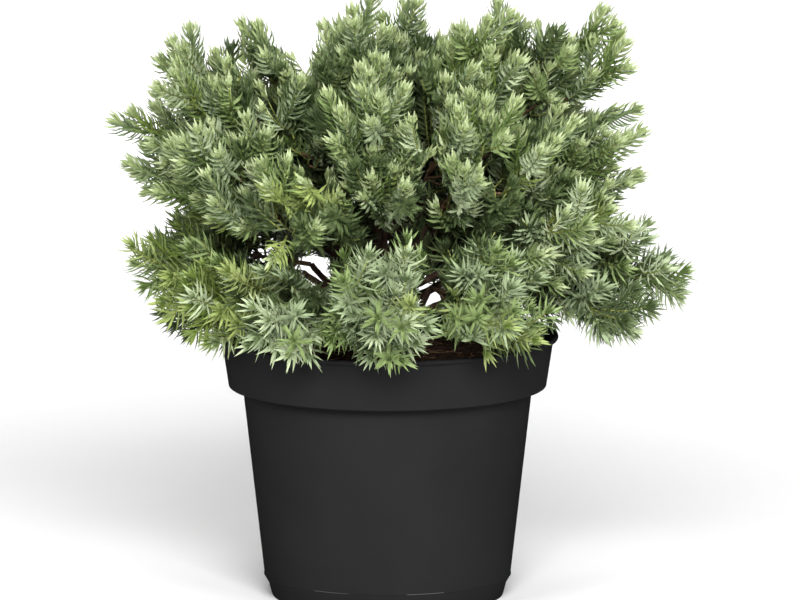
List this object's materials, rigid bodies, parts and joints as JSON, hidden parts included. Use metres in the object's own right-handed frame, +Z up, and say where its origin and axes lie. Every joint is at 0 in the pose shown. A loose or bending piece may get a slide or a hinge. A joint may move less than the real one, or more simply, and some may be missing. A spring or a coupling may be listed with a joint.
{
  "type": "potted blue star juniper",
  "caption": "Low bushy dwarf juniper with dense upright clumps of blue-green needles, growing in a round tapered plastic nursery pot filled with peat.",
  "frame": {"origin": "centre of the pot's flat underside", "axes": "+Z up from the underside along the pot's axis; -Y to the front of the plant as pictured, +X to the picture's right"},
  "size_m": [0.2758, 0.2597, 0.2988],
  "materials": {
    "pot_plastic": "satin",
    "peat": "matte",
    "bark": "matte",
    "needles": "matte"
  },
  "bodies": {
    "root": {"back_clump": "needles", "back_clump_bough": "bark", "back_left_clump": "needles", "back_left_clump_bough": "bark", "back_left_crest": "needles", "back_left_crest_bough": "bark", "back_left_skirt": "needles", "back_left_skirt_bough": "bark", "back_right_clump": "needles", "back_right_clump_bough": "bark", "back_right_crest": "needles", "back_right_crest_bough": "bark", "back_right_skirt": "needles", "back_right_skirt_bough": "bark", "back_skirt": "needles", "back_skirt_bough": "bark", "crown_tip": "needles", "front_clump": "needles", "front_clump_bough": "bark", "front_left_clump": "needles", "front_left_clump_bough": "bark", "front_right_clump": "needles", "front_right_clump_bough": "bark", "front_right_skirt": "needles", "front_right_skirt_bough": "bark", "front_skirt": "needles", "front_skirt_bough": "bark", "left_back_skirt": "needles", "left_back_skirt_bough": "bark", "left_crest": "needles", "left_crest_bough": "bark", "left_front_clump": "needles", "left_front_clump_bough": "bark", "left_front_skirt": "needles", "left_front_skirt_bough": "bark", "left_skirt": "needles", "left_skirt_bough": "bark", "left_wing": "needles", "left_wing_bough": "bark", "pot": "pot_plastic", "right_arm": "needles", "right_arm_bough": "bark", "right_crest": "needles", "right_crest_bough": "bark", "right_shoulder": "needles", "right_shoulder_bough": "bark", "right_wing": "needles", "right_wing_bough": "bark", "rim_tuft": "needles", "rim_tuft_bough": "bark", "soil": "peat", "top_front_tuft": "needles", "top_front_tuft_bough": "bark", "top_left_tuft": "needles", "top_left_tuft_bough": "bark", "top_right_tuft": "needles", "top_right_tuft_bough": "bark", "trunk": "bark"}
  },
  "joints": []
}
